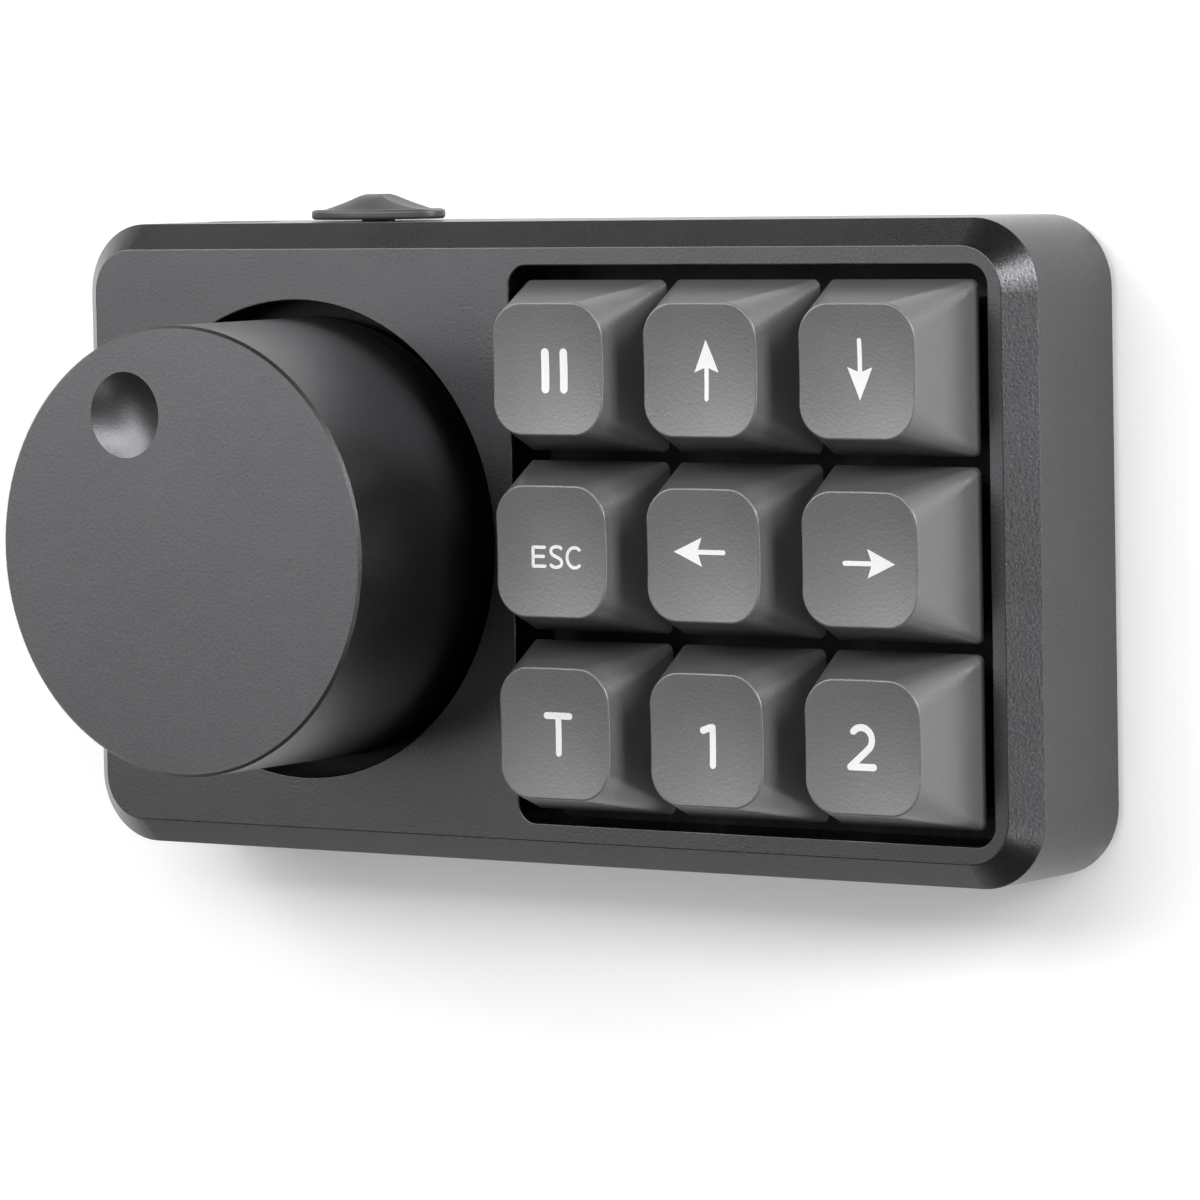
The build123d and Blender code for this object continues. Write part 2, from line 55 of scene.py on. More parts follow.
scene = bpy.context.scene


# colours and nodes

def hexLinear(code):
    # sRGB hex to linear light: the low end is a straight line, the rest a power of 2.4
    parts = np.array([int(code[i:i + 2], 16) for i in (1, 3, 5)]) / 255
    linear = np.where(parts <= 0.04045, parts / 12.92, ((parts + 0.055) / 1.055) ** 2.4)
    return (*linear.tolist(), 1.0)


def addNode(tree, kind, sockets=None, **settings):
    # a socket takes a plain value, or a link when it is given another node's output
    node = tree.nodes.new(kind)
    for key, value in settings.items():
        setattr(node, key, value)
    for key, value in (sockets or {}).items():
        if isinstance(value, bpy.types.NodeSocket):
            tree.links.new(value, node.inputs[key])
        else:
            node.inputs[key].default_value = value
    return node


# a Mix node's sockets share their names, so numbers find its share, its two numbers and its two colours
mixShare, numberA, numberB, colourA, colourB = 0, 2, 3, 6, 7
mixedNumber, mixedColour = 0, 2
# noise in every finish: its octaves, how much the small ones count, and the span that most values lie in
noise = {"detail": 2.0, "roughness": 0.6, "low": 0.3, "high": 0.7}


def grainFinish(name, look):
    # a mix of grain and blotches picks between two tones and shifts the gloss, and the grain alone stands
    # proud as bump
    material = bpy.data.materials.new(name)
    material.use_nodes = True
    tree = material.node_tree
    shader = tree.nodes["Principled BSDF"]
    for socket, value in look.get("shader", {}).items():
        shader.inputs[socket].default_value = value
    place = addNode(tree, "ShaderNodeTexCoord").outputs["Object"]
    if "stretch" in look:
        stretched = addNode(tree, "ShaderNodeMapping", {"Vector": place, "Scale": look["stretch"]})
        place = stretched.outputs["Vector"]
    grainScale, blotchScale = 1 / (look["grain"] * mm), 1 / (look["blotch"] * mm)
    if look.get("cells"):
        grain = addNode(tree, "ShaderNodeTexVoronoi", {"Vector": place, "Scale": grainScale})
    else:
        grain = addNode(tree, "ShaderNodeTexNoise", {
            "Vector": place, "Scale": grainScale, "Detail": noise["detail"],
            "Roughness": noise["roughness"]})
    blotch = addNode(tree, "ShaderNodeTexNoise", {
        "Vector": place, "Scale": blotchScale, "Detail": noise["detail"]})
    both = addNode(tree, "ShaderNodeMix", {
        mixShare: look["blotchShare"], numberA: grain.outputs[0], numberB: blotch.outputs[0]})
    tone = addNode(tree, "ShaderNodeMix", {
        mixShare: both.outputs[mixedNumber], colourA: hexLinear(look["dark"]),
        colourB: hexLinear(look["light"])}, data_type="RGBA")
    gloss = addNode(tree, "ShaderNodeMapRange", {
        "Value": both.outputs[mixedNumber], "From Min": noise["low"], "From Max": noise["high"],
        "To Min": look["gloss"][0], "To Max": look["gloss"][1]})
    bump = addNode(tree, "ShaderNodeBump", {"Height": grain.outputs[0], "Distance": look["depth"] * mm})
    tree.links.new(tone.outputs[mixedColour], shader.inputs["Base Color"])
    tree.links.new(gloss.outputs["Result"], shader.inputs["Roughness"])
    tree.links.new(bump.outputs["Normal"], shader.inputs["Normal"])
    return material


metal = {"Metallic": 1.0}
# grain, blotch and depth are in millimetres, and gloss is the span of roughness
finishes = {
    # bead-blasted dark grey anodised aluminium: a dull metal sheen with a fine even sparkle; the grain is
    # coarsened to about twice its real size so that it shows
    "housing_aluminium": {
        "dark": "#4a4a4c", "light": "#68686a", "grain": 0.3, "blotch": 9.0, "blotchShare": 0.25,
        "depth": 0.018, "gloss": (0.26, 0.32), "shader": metal},
    # the same blasted skin on the knob, a shade paler and duller
    "knob_aluminium": {
        "dark": "#58585a", "light": "#747476", "grain": 0.28, "blotch": 11.0, "blotchShare": 0.25,
        "depth": 0.015, "gloss": (0.32, 0.38), "shader": metal},
    # spark-textured moulded PBT: a soft sheen broken by the grain, coarsened likewise
    "keycap_plastic": {
        "dark": "#525254", "light": "#626263", "grain": 0.32, "blotch": 6.0, "blotchShare": 0.3,
        "depth": 0.024, "gloss": (0.3, 0.37), "shader": {"IOR": 1.55, "Specular IOR Level": 1.0}},
    # the slider's moulded plastic: darker and duller than the keys, with a shallower grain
    "slider_plastic": {
        "dark": "#38383a", "light": "#464648", "grain": 0.28, "blotch": 5.0, "blotchShare": 0.3,
        "depth": 0.010, "gloss": (0.36, 0.44), "shader": {"IOR": 1.55}},
    # textured black ABS: duller than the keys, with a slightly pebbled skin
    "cover_plastic": {
        "dark": "#1c1c1e", "light": "#262628", "grain": 0.35, "blotch": 14.0, "blotchShare": 0.35,
        "depth": 0.02, "gloss": (0.48, 0.6), "shader": {"IOR": 1.53}},
    # plain black ABS: smoother moulded inner piece
    "hub_plastic": {
        "dark": "#161618", "light": "#1e1e20", "grain": 0.5, "blotch": 5.0, "blotchShare": 0.4,
        "depth": 0.006, "gloss": (0.4, 0.5), "shader": {"IOR": 1.53}},
    # black-oxide steel: dark metal with a faint brown cast where the oxide thins
    "screw_steel": {
        "dark": "#3a3a3c", "light": "#5a5856", "grain": 0.18, "blotch": 1.2, "blotchShare": 0.5,
        "depth": 0.004, "gloss": (0.32, 0.46), "shader": metal},
    # moulded rubber: matte and dark, greyed a little by dust
    "foot_rubber": {
        "dark": "#121213", "light": "#222223", "grain": 0.3, "blotch": 3.0, "blotchShare": 0.5,
        "depth": 0.012, "gloss": (0.78, 0.92), "shader": {"IOR": 1.5}},
    # solder-masked glass laminate: dark green with the weave just telling through the gloss
    "board_laminate": {
        "dark": "#0c2a1c", "light": "#174a30", "grain": 0.6, "blotch": 8.0, "blotchShare": 0.4,
        "depth": 0.006, "gloss": (0.28, 0.4), "stretch": (1.0, 0.25, 1.0), "shader": {"IOR": 1.52}},
    # powder-coated steel plate: near black with an orange-peel skin, deep in the well
    "plate_steel": {
        "dark": "#0a0a0b", "light": "#121213", "grain": 0.7, "blotch": 9.0, "blotchShare": 0.3,
        "depth": 0.012, "gloss": (0.5, 0.62)},
    # black nylon: soft matte with faint flow marks
    "switch_nylon": {
        "dark": "#0b0b0c", "light": "#141416", "grain": 0.4, "blotch": 4.0, "blotchShare": 0.5,
        "depth": 0.005, "gloss": (0.46, 0.58), "stretch": (1.0, 1.0, 0.3), "shader": {"IOR": 1.53}},
    # acetal stem: waxy brown with a low, even sheen
    "stem_acetal": {
        "dark": "#4c2e1e", "light": "#5e3a26", "grain": 0.4, "blotch": 2.5, "blotchShare": 0.5,
        "depth": 0.003, "gloss": (0.3, 0.38), "shader": {"IOR": 1.48}},
    # drawn spring wire: bright steel with fine streaks lying level, round the coil
    "spring_steel": {
        "dark": "#a8a8aa", "light": "#d4d4d6", "grain": 0.15, "blotch": 1.5, "blotchShare": 0.3,
        "depth": 0.002, "gloss": (0.2, 0.32), "stretch": (0.4, 0.4, 3.0), "shader": metal},
    # gold-flashed brass: a warm bright yellow, slightly clouded
    "contact_brass": {
        "dark": "#c99a45", "light": "#e6bd6a", "grain": 0.2, "blotch": 1.0, "blotchShare": 0.4,
        "depth": 0.002, "gloss": (0.22, 0.34), "shader": metal},
    # nickel-plated encoder metal: pale, finely drawn along its height
    "encoder_metal": {
        "dark": "#9a9892", "light": "#c4c2bc", "grain": 0.25, "blotch": 3.0, "blotchShare": 0.3,
        "depth": 0.003, "gloss": (0.24, 0.36), "stretch": (3.0, 3.0, 0.3), "shader": metal},
    # nickel-plated drawn steel shell: bright, streaked from its mouth to its back
    "socket_steel": {
        "dark": "#a6a6a4", "light": "#d0d0ce", "grain": 0.3, "blotch": 2.5, "blotchShare": 0.35,
        "depth": 0.003, "gloss": (0.2, 0.32), "stretch": (2.5, 0.3, 2.5), "shader": metal},
    # laminated foil pouch: dull silver that crinkles in small cells
    "battery_pouch": {
        "dark": "#8e9094", "light": "#c2c4c8", "grain": 4.0, "blotch": 12.0, "blotchShare": 0.4,
        "depth": 0.12, "gloss": (0.3, 0.42), "cells": True, "shader": metal},
    # closed-cell foam tape: off-white and chalky, with small cells on its skin
    "tape_foam": {
        "dark": "#c8c2b2", "light": "#e6e1d4", "grain": 0.4, "blotch": 5.0, "blotchShare": 0.3,
        "depth": 0.06, "gloss": (0.85, 0.95), "cells": True},
    # natural nylon connector: milky and slightly see-through in the light
    "connector_nylon": {
        "dark": "#ddd8c8", "light": "#eeeadd", "grain": 0.4, "blotch": 2.5, "blotchShare": 0.5,
        "depth": 0.004, "gloss": (0.38, 0.48), "shader": {"IOR": 1.53, "Subsurface Weight": 0.08}},
    # tinned shield can: cool grey, mottled where the tin flowed
    "shield_tin": {
        "dark": "#8a8c8e", "light": "#bcbec0", "grain": 0.9, "blotch": 4.0, "blotchShare": 0.5,
        "depth": 0.004, "gloss": (0.26, 0.44), "shader": metal},
    # moulded chip epoxy: charcoal with a sanded, gritty face
    "chip_epoxy": {
        "dark": "#18181a", "light": "#2a2a2c", "grain": 0.12, "blotch": 2.0, "blotchShare": 0.3,
        "depth": 0.008, "gloss": (0.55, 0.7)},
}
materials = {}
for subpart in frame["record"]["subparts"]:
    slot = subpart["material_slot"]
    if slot not in materials:
        materials[slot] = grainFinish(slot, finishes[slot])
    node = frame["nodes"][subpart["node"]]
    node.data.materials.clear()
    node.data.materials.append(materials[slot])
# screen-printed white ink: even, slightly toothed by the grain under it
legendInk = grainFinish("legendInk", {
    "dark": "#dededc", "light": "#eeeeec", "grain": 0.2, "blotch": 3.0, "blotchShare": 0.4, "depth": 0.003,
    "gloss": (0.5, 0.6)})
# painted shade: the housing's colour is darkened in the knob's recess, standing in for its shadow
# the recess round the knob reads black in the photograph: how far it goes past the knob, how far below the
# housing's top its tone begins, and the tone
recessShade = {"gap": 2.05, "lip": 0.15, "tone": "#1a1a1b"}


def paintRecessShade(material):
    # where the distance from the knob's axis is under the radius and the height is under the lip, one dark
    # tone of painted shade takes the place of the grain's, standing in for the shadow in the recess
    knobLow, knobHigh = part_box("knob_shell")
    axis = (knobLow + knobHigh) / 2
    radius = (knobHigh.x - knobLow.x) / 2 + recessShade["gap"] * mm
    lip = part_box("housing")[1].z - recessShade["lip"] * mm
    tree = material.node_tree
    skin = tree.nodes["Principled BSDF"].inputs["Base Color"]
    whole = addNode(tree, "ShaderNodeTexCoord").outputs["Object"]
    place = addNode(tree, "ShaderNodeSeparateXYZ", {0: whole})
    besideX = addNode(tree, "ShaderNodeMath", {0: place.outputs["X"], 1: axis.x}, operation="SUBTRACT")
    besideY = addNode(tree, "ShaderNodeMath", {0: place.outputs["Y"], 1: axis.y}, operation="SUBTRACT")
    level = addNode(tree, "ShaderNodeCombineXYZ", {"X": besideX.outputs[0], "Y": besideY.outputs[0]})
    reach = addNode(tree, "ShaderNodeVectorMath", {0: level.outputs["Vector"]}, operation="LENGTH")
    within = addNode(tree, "ShaderNodeMath", {0: reach.outputs["Value"], 1: radius}, operation="LESS_THAN")
    below = addNode(tree, "ShaderNodeMath", {0: place.outputs["Z"], 1: lip}, operation="LESS_THAN")
    inShade = addNode(tree, "ShaderNodeMath", {
        0: within.outputs[0], 1: below.outputs[0]}, operation="MULTIPLY")
    tone = addNode(tree, "ShaderNodeMix", {
        mixShare: inShade.outputs[0], colourA: skin.links[0].from_socket,
        colourB: hexLinear(recessShade["tone"])}, data_type="RGBA")
    tree.links.new(tone.outputs[mixedColour], skin)


# the housing's colour gets painted shade in the recess round the knob
paintRecessShade(materials["housing_aluminium"])
print("finishes given to", len(frame["nodes"]), "nodes")


# meshes

# how near in metres points merge and slivers dissolve, and the angle past which an edge is sharp
weld = {"doubles": 1e-7, "slivers": 1e-8, "sharpAngle": math.radians(35)}


def newPiece(name, points, faces, material):
    # one mesh from whole arrays, with its doubles merged and its faces turned outwards
    mesh = bpy.data.meshes.new(name)
    mesh.from_pydata(points.tolist(), [], faces.tolist())
    work = bmesh.new()
    work.from_mesh(mesh)
    bmesh.ops.remove_doubles(work, verts=work.verts, dist=weld["doubles"])
    bmesh.ops.dissolve_degenerate(work, edges=work.edges, dist=weld["slivers"])
    bmesh.ops.recalc_face_normals(work, faces=work.faces)
    work.to_mesh(mesh)
    work.free()
    mesh.shade_smooth()
    mesh.set_sharp_from_angle(angle=weld["sharpAngle"])
    mesh.materials.append(material)
    piece = bpy.data.objects.new(name, mesh)
    scene.collection.objects.link(piece)
    return piece


def gridNumbers(surface):
    # the numbers of a surface's points, in its rows and columns
    return np.arange(surface[..., 0].size).reshape(surface.shape[:2])


def gridFaces(grid):
    # a quad between each four neighbours of a numbered grid
    return np.stack([grid[:-1, :-1], grid[:-1, 1:], grid[1:, 1:], grid[1:, :-1]], -1).reshape(-1, 4)


def slabPiece(name, slabs, middle, material):
    # thin slabs in millimetres about a middle, each of a top sheet, a low sheet and walls round its borders
    points, faces, count = [], [], 0
    for topSheet, lowSheet in slabs:
        top = gridNumbers(topSheet) + count
        low = top + top.size
        rims = [(top[:, 0], low[:, 0]), (low[:, -1], top[:, -1]), (low[0], top[0]), (top[-1], low[-1])]
        walls = [np.stack([a[:-1], a[1:], b[1:], b[:-1]], -1) for a, b in rims]
        points += [topSheet.reshape(-1, 3), lowSheet.reshape(-1, 3)]
        faces += [gridFaces(top), gridFaces(low[:, ::-1]), *walls]
        count += 2 * top.size
    return newPiece(name, np.concatenate(points) * mm + middle, np.concatenate(faces), material)


# legends

# how many points each kind of line is worked out at
legendSteps = {"bend": 49, "span": 12, "nibEnd": 8, "stroke": 41, "arrowHead": 25}


def bend(centre, radii, first, last):
    # points on an ellipse about the centre, from the first angle to the last
    turn = np.radians(np.linspace(first, last, legendSteps["bend"]))
    return np.array(centre) + np.stack([radii[0] * np.cos(turn), radii[1] * np.sin(turn)], -1)


def flowing(knots):
    # points on a smooth curve through the knots: each span is a cubic whose ends lean along its neighbours
    knots = np.array(knots)
    ends = np.concatenate([2 * knots[:1] - knots[1:2], knots, 2 * knots[-1:] - knots[-2:-1]])
    t = np.linspace(0, 1, legendSteps["span"], endpoint=False)[None, :, None]
    a, b, c, d = (ends[i:len(ends) - 3 + i][:, None, :] for i in range(4))
    cubic = (c - a) * t + (2 * a - 5 * b + 4 * c - d) * t ** 2 + (3 * b - a - 3 * c + d) * t ** 3
    return np.concatenate([(b + cubic / 2).reshape(-1, 2), knots[-1:]])


def stroke(path, width):
    # left and right edges of a line drawn with a round nib: half the width to each side of the path,
    # closing to nothing along a quarter circle at both ends
    path = np.array(path)
    run = np.concatenate([[0], np.cumsum(np.linalg.norm(np.diff(path, axis=0), axis=1))])
    half = width / 2
    nib = half * (1 - np.cos(np.linspace(0, math.pi / 2, legendSteps["nibEnd"])))
    body = np.linspace(half, run[-1] - half, legendSteps["stroke"])
    along = np.concatenate([nib[:-1], body, run[-1] - nib[::-1][1:]])
    middle = np.stack([np.interp(along, run, path[:, k]) for k in (0, 1)], -1)
    ahead = np.gradient(middle, along, axis=0)
    ahead /= np.linalg.norm(ahead, axis=1, keepdims=True)
    side = np.stack([-ahead[:, 1], ahead[:, 0]], -1)
    toEnd = np.minimum(along, run[-1] - along)
    reach = np.sqrt(np.maximum(half ** 2 - np.maximum(half - toEnd, 0) ** 2, 0))[:, None]
    return np.stack([middle + side * reach, middle - side * reach], 1)


def strokes(width, *paths):
    # a line of the same width along each path
    return [stroke(path, width) for path in paths]


arrow = {"length": 6.3, "headLength": 3.35, "headWidth": 2.98, "notch": 0.55, "shaft": 0.5}


def arrowPatches(angle):
    # a barbed head ruled from its base to its tip, and a round-ended shaft, turned to the angle
    tip = np.array([0, arrow["length"] / 2])
    base = tip[1] - arrow["headLength"]
    barb = arrow["headWidth"] / 2
    foot = np.array([[-barb, base], [0, base + arrow["notch"]], [barb, base]])
    rise = np.linspace(0, 1, legendSteps["arrowHead"])[:, None, None]
    head = foot[None] * (1 - rise) + tip * rise
    shaft = stroke([(0, -arrow["length"] / 2), (0, base + 2 * arrow["notch"])], arrow["shaft"])
    turn = math.radians(angle)
    spin = np.array([[math.cos(turn), -math.sin(turn)], [math.sin(turn), math.cos(turn)]])
    return [patch @ spin.T for patch in (head, shaft)]


legends = {
    # patches in millimetres on the key top, and how far they sit from its middle
    "pause": {
        "patches": strokes(0.97, [(-1.18, -2.35), (-1.18, 2.35)], [(1.18, -2.35), (1.18, 2.35)]),
        "shift": (0.6, -0.2)},
    "up": {"patches": arrowPatches(0), "shift": (0.56, -0.05)},
    "down": {"patches": arrowPatches(180), "shift": (0.12, 0.2)},
    "escape": {
        "patches": strokes(
            0.35, [(-2.95, 1.16), (-2.95, -1.16)], [(-3.12, 0.99), (-1.35, 0.99)],
            [(-3.12, 0.03), (-1.48, 0.03)], [(-3.12, -0.99), (-1.3, -0.99)],
            flowing([(0.72, 0.80), (0.42, 1.03), (-0.08, 1.08), (-0.58, 0.90), (-0.72, 0.52),
                     (-0.48, 0.22), (0.0, 0.0), (0.45, -0.22), (0.66, -0.55), (0.50, -0.92),
                     (0.0, -1.07), (-0.5, -1.0), (-0.85, -0.74)]),
            bend((2.35, -0.02), (1.0, 1.05), 42, 318)),
        "shift": (0.38, -0.57)},
    "left": {"patches": arrowPatches(90), "shift": (-0.64, 0.33)},
    "right": {"patches": arrowPatches(-90), "shift": (0.85, -0.41)},
    "t": {
        "patches": strokes(0.72, [(-1.82, 1.94), (1.82, 1.94)], [(0, 2.2), (0, -2.32)]),
        "shift": (0.21, -0.1)},
    "one": {
        "patches": strokes(0.74, [(-0.98, 1.5), (0.62, 2.05)], [(0.55, 2.32), (0.55, -2.32)]),
        "shift": (-0.03, -0.62)},
    "two": {
        "patches": strokes(
            0.72, [*bend((-0.05, 0.75), (1.25, 1.25), 155, -49), (-1.5, -2.12)],
            [(-1.76, -2.03), (1.76, -2.03)]),
        "shift": (-0.36, 0.0)},
}
# the keycap's own top size, height and dish, and how far the ink stands out of it and goes into it
keyTop = {"topSize": 13.86, "height": 9.1, "dishRadius": 50.0, "proud": 0.03, "sunk": 0.04}


def onKeyTop(patch, offset):
    # the dished key top is a sphere that passes through the middles of the top's four edges; the patch lies
    # on it, raised by the offset
    crown = keyTop["height"] + math.sqrt(keyTop["dishRadius"] ** 2 - (keyTop["topSize"] / 2) ** 2)
    height = crown - np.sqrt(keyTop["dishRadius"] ** 2 - (patch ** 2).sum(-1, keepdims=True))
    return np.concatenate([patch, height + offset], -1)


for key, legend in legends.items():
    capLow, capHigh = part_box("keycap_" + key)
    capFoot = np.array([(capLow.x + capHigh.x) / 2, (capLow.y + capHigh.y) / 2, capLow.z])
    shifted = [patch + np.array(legend["shift"]) for patch in legend["patches"]]
    inkSlabs = [(onKeyTop(patch, keyTop["proud"]), onKeyTop(patch, -keyTop["sunk"])) for patch in shifted]
    ink = slabPiece(key + "Legend", inkSlabs, capFoot, legendInk)
    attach(ink, "key_" + key)
print("legends laid on", len(legends), "key tops")


# springs

# sizes in millimetres, the share of the length that is left when the key is down, and the grid's points
spring = {"coil": 2.05, "wire": 0.17, "turns": 4.0, "low": 7.2, "high": 13.2, "deadTurns": 0.75,
          "keep": 1 / 3, "along": 193, "round": 13}


def springWire():
    # a wire along a helix: u runs along the turns and v round the wire, whose ends close to a point;
    # the rise starts after the dead turns at each end and is even between them
    u = np.linspace(0, 1, spring["along"])
    v = np.linspace(0, 2 * math.pi, spring["round"])
    dead = spring["deadTurns"] / spring["turns"]
    rise = np.clip((u - dead) / (1 - 2 * dead), 0, 1)
    height = spring["low"] + spring["wire"] + rise * (spring["high"] - spring["low"] - 2 * spring["wire"])
    turn = 2 * math.pi * spring["turns"] * u
    wire = np.where((u > 0) & (u < 1), spring["wire"], 0.0)[:, None]
    reach = spring["coil"] + wire * np.cos(v)
    across, along = reach * np.cos(turn)[:, None], reach * np.sin(turn)[:, None]
    return np.stack([across, along, height[:, None] + wire * np.sin(v)], -1)


wireGrid = springWire()
wirePoints, wireFaces = wireGrid.reshape(-1, 3) * mm, gridFaces(gridNumbers(wireGrid))
for key in legends:
    springLow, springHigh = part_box("key_spring_" + key)
    axis = np.array([(springLow.x + springHigh.x) / 2, (springLow.y + springHigh.y) / 2, 0])
    coil = newPiece(key + "Spring", wirePoints + axis, wireFaces, materials["spring_steel"])
    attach(coil, "case")
    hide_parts("key_spring_" + key)
    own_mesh(coil)
print("springs wound under", len(legends), "keys")


# cover screws

# sizes in millimetres, how far the screws stand from the middle of the cover, and the grid's points
screw = {"head": 1.9, "headHeight": 0.9, "shank": 1.0, "length": 6.0, "edge": 0.18, "apart": (56.3, 29.35),
         "slotWidth": 0.62, "slotReach": 1.15, "slotDepth": 0.62, "slotSlope": 0.12, "slotFade": 0.5,
         "pitch": 0.8, "thread": 0.16, "threadStart": 0.4, "threadEnd": 0.3, "threadFade": 0.4,
         "round": 97, "faceRings": 29, "shankRings": 73}


def screwSkin():
    # the head's face is a disc of radius and angle: flat, rounded off at the rim, and sunk by a cross whose
    # two slots fade out at their reach
    a = np.linspace(0, 2 * math.pi, screw["round"])[None, :]
    still = np.zeros_like(a)
    radius = screw["head"] * np.linspace(0, 1, screw["faceRings"])[:, None] + still
    across = np.minimum(abs(radius * np.sin(a)), abs(radius * np.cos(a)))
    inSlot = np.clip((screw["slotWidth"] / 2 - across) / screw["slotSlope"] + 1 / 2, 0, 1)
    fade = np.clip((screw["slotReach"] - radius) / screw["slotFade"], 0, 1)
    rim = np.clip((radius - screw["head"] + screw["edge"]) / screw["edge"], 0, 1)
    sunk = screw["slotDepth"] * inSlot * fade + screw["edge"] * (1 - np.sqrt(1 - rim ** 2))
    disc = np.stack([radius * np.cos(a), radius * np.sin(a), sunk], -1)
    # the rest is turned about the axis: the head's wall and shoulder, then a shank whose radius follows a
    # ridge that climbs one pitch a turn and dies away at both ends, closed at the tip
    shank = np.linspace(screw["headHeight"], screw["length"], screw["shankRings"])
    drop = np.concatenate([[screw["headHeight"]] * 2, shank])[:, None]
    phase = (drop / screw["pitch"] - a / (2 * math.pi)) % 1
    fromHead = drop - screw["headHeight"] - screw["threadStart"]
    fromTip = screw["length"] - screw["threadEnd"] - drop
    alive = np.clip(np.minimum(fromHead, fromTip) / screw["threadFade"], 0, 1)
    ridge = screw["shank"] - screw["thread"] * alive * abs(2 * phase - 1)
    ridge[:2] = [[screw["head"]], [screw["shank"]]]
    lathe = np.stack([ridge * np.cos(a), ridge * np.sin(a), drop + still], -1)
    tip = np.stack([still, still, screw["length"] + still], -1)
    return np.concatenate([disc, lathe, tip])


oneScrew = screwSkin()
screwFaces = gridFaces(gridNumbers(oneScrew))
screwLow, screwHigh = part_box("cover_screws")
screwMiddle = np.array([(screwLow.x + screwHigh.x) / 2, (screwLow.y + screwHigh.y) / 2, screwLow.z])
corners = np.array([(x, y, 0) for x in (-1, 1) for y in (-1, 1)]) * (*screw["apart"], 0)
fourScrews = (oneScrew.reshape(1, -1, 3) + corners[:, None, :]) * mm + screwMiddle
firstPoints = fourScrews.shape[1] * np.arange(len(corners))
fourFaces = (screwFaces[None] + firstPoints[:, None, None]).reshape(-1, 4)
screws = newPiece("crossScrews", fourScrews.reshape(-1, 3), fourFaces, materials["screw_steel"])
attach(screws, "case")
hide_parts("cover_screws")
print("screws cut with a cross")


# socket contacts

# bars in millimetres: setback is from the socket's mouth, and tongue is half the tongue's thickness
contacts = {"count": 12, "pitch": 0.5, "width": 0.28, "length": 2.0, "setback": 1.075, "tongue": 0.35,
            "proud": 0.02, "sunk": 0.03}


def contactSheet(x, height):
    # a flat bar at one height: two points across it and two along it, behind the mouth
    side, front = contacts["width"] / 2, -contacts["setback"]
    back = front - contacts["length"]
    return np.array([[(x - side, y, height), (x + side, y, height)] for y in (back, front)])


# two rows, one on each face of the tongue, at even steps across it
places = contacts["pitch"] * (np.arange(contacts["count"]) - (contacts["count"] - 1) / 2)
outer, inner = contacts["tongue"] + contacts["proud"], contacts["tongue"] - contacts["sunk"]
bars = [(contactSheet(x, face * outer), contactSheet(x, face * inner)) for face in (1, -1) for x in places]
socketLow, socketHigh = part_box("usb_socket")
mouth = np.array([(socketLow.x + socketHigh.x) / 2, socketHigh.y, (socketLow.z + socketHigh.z) / 2])
pads = slabPiece("socketContacts", bars, mouth, materials["contact_brass"])
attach(pads, "case")
print("contacts laid on the tongue")


# camera: fitted to the keys, body corners and knob rim in the photograph, in millimetres and degrees

view = {"place": (406.40, 43.83, 592.08), "turn": (-4.932, 34.657, -1.336), "lens": 199.43, "sensor": 36.0}
camera = bpy.data.objects.new("camera", bpy.data.cameras.new("camera"))
camera.location = [v * mm for v in view["place"]]
camera.rotation_euler = [math.radians(v) for v in view["turn"]]
camera.data.lens = view["lens"]
camera.data.sensor_width = view["sensor"]
scene.collection.objects.link(camera)
scene.camera = camera
print("camera placed")


# stage, in metres: a pale sheet, white round the part and greyer away from it, so that the metal has
# something darker to mirror

stage = {"half": 3.0, "near": "#f4f4f4", "far": "#b8b8b8", "squeeze": (0.8, 1.0, 1.0), "fadeStart": 0.075,
         "fadeEnd": 0.21, "lift": 0.18, "inset": (0.001, 0.00105)}


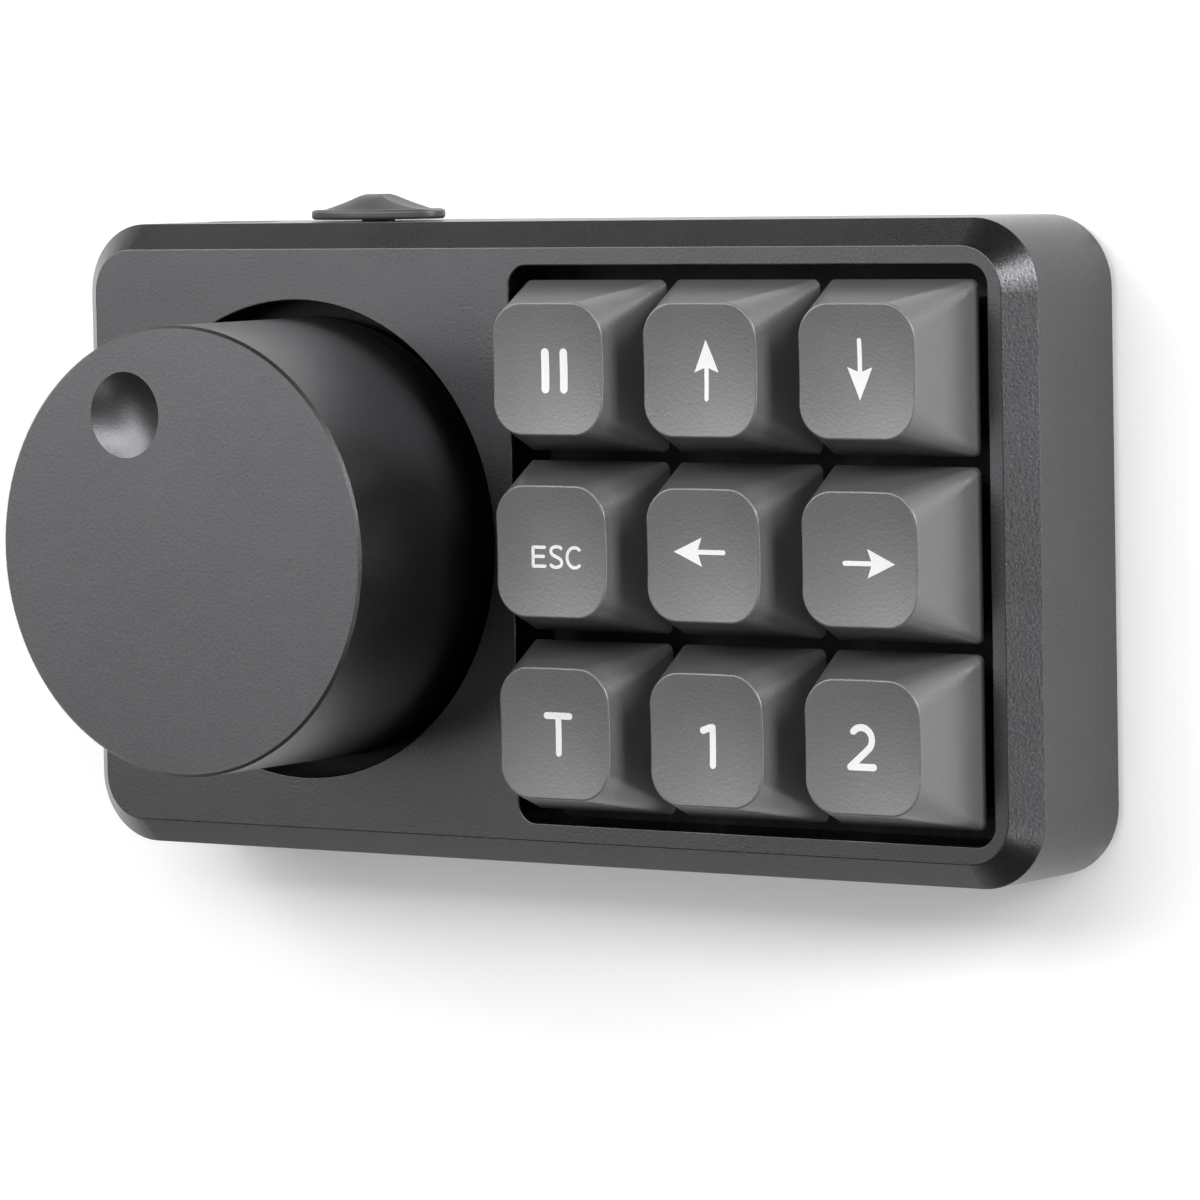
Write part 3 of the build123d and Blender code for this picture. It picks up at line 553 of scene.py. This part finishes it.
def paperFinish():
    # the tone goes from near to far with the distance from the origin, squeezed along x
    paper = bpy.data.materials.new("paper")
    paper.use_nodes = True
    tree = paper.node_tree
    sheet = tree.nodes["Principled BSDF"]
    sheet.inputs["Roughness"].default_value = 1.0
    sheet.inputs["Specular IOR Level"].default_value = 0.0
    sheet.inputs["Emission Color"].default_value = (1, 1, 1, 1)
    place = addNode(tree, "ShaderNodeTexCoord").outputs["Object"]
    spread = addNode(tree, "ShaderNodeMapping", {"Vector": place, "Scale": stage["squeeze"]})
    away = addNode(tree, "ShaderNodeVectorMath", {0: spread.outputs["Vector"]}, operation="LENGTH")
    nearness = addNode(tree, "ShaderNodeMapRange", {
        "Value": away.outputs["Value"], "From Min": stage["fadeStart"], "From Max": stage["fadeEnd"],
        "To Min": 1.0, "To Max": 0.0}, interpolation_type="SMOOTHSTEP")
    tone = addNode(tree, "ShaderNodeMix", {
        mixShare: nearness.outputs["Result"], colourA: hexLinear(stage["far"]),
        colourB: hexLinear(stage["near"])}, data_type="RGBA")
    tree.links.new(tone.outputs[mixedColour], sheet.inputs["Base Color"])
    # near the part the sheet is lifted to white for the eye and for what mirrors it
    rays = addNode(tree, "ShaderNodeLightPath")
    eyeOrMirror = addNode(tree, "ShaderNodeMath", {
        0: rays.outputs["Is Camera Ray"], 1: rays.outputs["Is Glossy Ray"]}, operation="MAXIMUM")
    seen = addNode(tree, "ShaderNodeMath", {
        0: eyeOrMirror.outputs[0], 1: rays.outputs["Is Transmission Ray"]}, operation="MAXIMUM")
    lift = addNode(tree, "ShaderNodeMath", {0: seen.outputs[0], 1: stage["lift"]}, operation="MULTIPLY")
    nearLift = addNode(tree, "ShaderNodeMath", {
        0: lift.outputs[0], 1: nearness.outputs["Result"]}, operation="MULTIPLY")
    tree.links.new(nearLift.outputs[0], sheet.inputs["Emission Strength"])
    # it is clear from below, and under the part it lets light through, so that a look from below finds the
    # base lit
    low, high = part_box("housing")
    middle, half = (low + high) / 2, (high - low) / 2
    footprint = (half.x - stage["inset"][0], half.y - stage["inset"][1], 0.0)
    centred = addNode(tree, "ShaderNodeMapping", {"Vector": place, "Location": (-middle.x, -middle.y, 0.0)})
    beside = addNode(tree, "ShaderNodeVectorMath", {0: centred.outputs["Vector"]}, operation="ABSOLUTE")
    past = addNode(tree, "ShaderNodeVectorMath", {
        0: beside.outputs["Vector"], 1: footprint}, operation="SUBTRACT")
    sides = addNode(tree, "ShaderNodeSeparateXYZ", {0: past.outputs["Vector"]})
    furthest = addNode(tree, "ShaderNodeMath", {
        0: sides.outputs["X"], 1: sides.outputs["Y"]}, operation="MAXIMUM")
    under = addNode(tree, "ShaderNodeMath", {0: furthest.outputs[0], 1: 0.0}, operation="LESS_THAN")
    unseen = addNode(tree, "ShaderNodeMath", {
        0: under.outputs[0], 1: rays.outputs["Is Camera Ray"]}, operation="SUBTRACT")
    behind = addNode(tree, "ShaderNodeNewGeometry").outputs["Backfacing"]
    gone = addNode(tree, "ShaderNodeMath", {0: unseen.outputs[0], 1: behind}, operation="MAXIMUM")
    clear = addNode(tree, "ShaderNodeMixShader", {
        0: gone.outputs[0], 1: sheet.outputs["BSDF"],
        2: addNode(tree, "ShaderNodeBsdfTransparent").outputs["BSDF"]})
    tree.links.new(clear.outputs["Shader"], tree.nodes["Material Output"].inputs["Surface"])
    return paper


floorMesh = bpy.data.meshes.new("floor")
floorCorners = [(x * stage["half"], y * stage["half"], 0) for x, y in ((-1, -1), (1, -1), (1, 1), (-1, 1))]
floorMesh.from_pydata(floorCorners, [], [(0, 1, 2, 3)])
floorMesh.materials.append(paperFinish())
floor = bpy.data.objects.new("floor", floorMesh)
scene.collection.objects.link(floor)
print("floor laid")


# lamps: panels that face the origin, each from its own direction and all at one distance

lampDistance = 1.1
lamps = {
    "leftPanel": {"from": (-0.72, 0.46, 0.53), "size": (0.7, 0.9), "power": 6.3},
    "leftFront": {"from": (-0.56, 0.09, 0.82), "size": (0.6, 0.5), "power": 1.1},
    "top": {"from": (0.0, 0.47, 0.88), "size": (1.1, 0.4), "power": 6.6},
    "over": {"from": (0.0, 0.10, 0.99), "size": (0.6, 0.6), "power": 0.4},
    "rightCorner": {"from": (0.86, 0.42, 0.28), "size": (0.5, 0.3), "power": 9.0},
    "rightLow": {"from": (0.95, 0.12, 0.28), "size": (0.7, 0.3), "power": 2.0},
    "rightFront": {"from": (0.85, -0.40, 0.30), "size": (0.5, 0.3), "power": 1.6},
    "front": {"from": (0.0, -0.60, 0.80), "size": (0.5, 0.5), "power": 0.8},
}
for name, lamp in lamps.items():
    light = bpy.data.lights.new(name, "AREA")
    light.shape = "RECTANGLE"
    light.size, light.size_y = lamp["size"]
    light.energy = lamp["power"]
    panel = bpy.data.objects.new(name, light)
    aim = Vector(lamp["from"]).normalized()
    panel.location = aim * lampDistance
    panel.rotation_euler = aim.to_track_quat("Z", "Y").to_euler()
    scene.collection.objects.link(panel)
print(len(lamps), "lamps hung")


# room: dim above the sheet and light well below it, changing between two slopes of the line of sight

room = {"below": 0.9, "above": 0.08, "lowSlope": -0.35, "highSlope": -0.12}
world = bpy.data.worlds.new("studio")
world.use_nodes = True
air = world.node_tree
background = air.nodes["Background"]
background.inputs["Color"].default_value = (1, 1, 1, 1)
sight = addNode(air, "ShaderNodeSeparateXYZ", {0: addNode(air, "ShaderNodeTexCoord").outputs["Generated"]})
glow = addNode(air, "ShaderNodeMapRange", {
    "Value": sight.outputs["Z"], "From Min": room["lowSlope"], "From Max": room["highSlope"],
    "To Min": room["below"], "To Max": room["above"]})
air.links.new(glow.outputs["Result"], background.inputs["Strength"])
scene.world = world
scene.view_settings.view_transform = "Standard"
print("room lit")
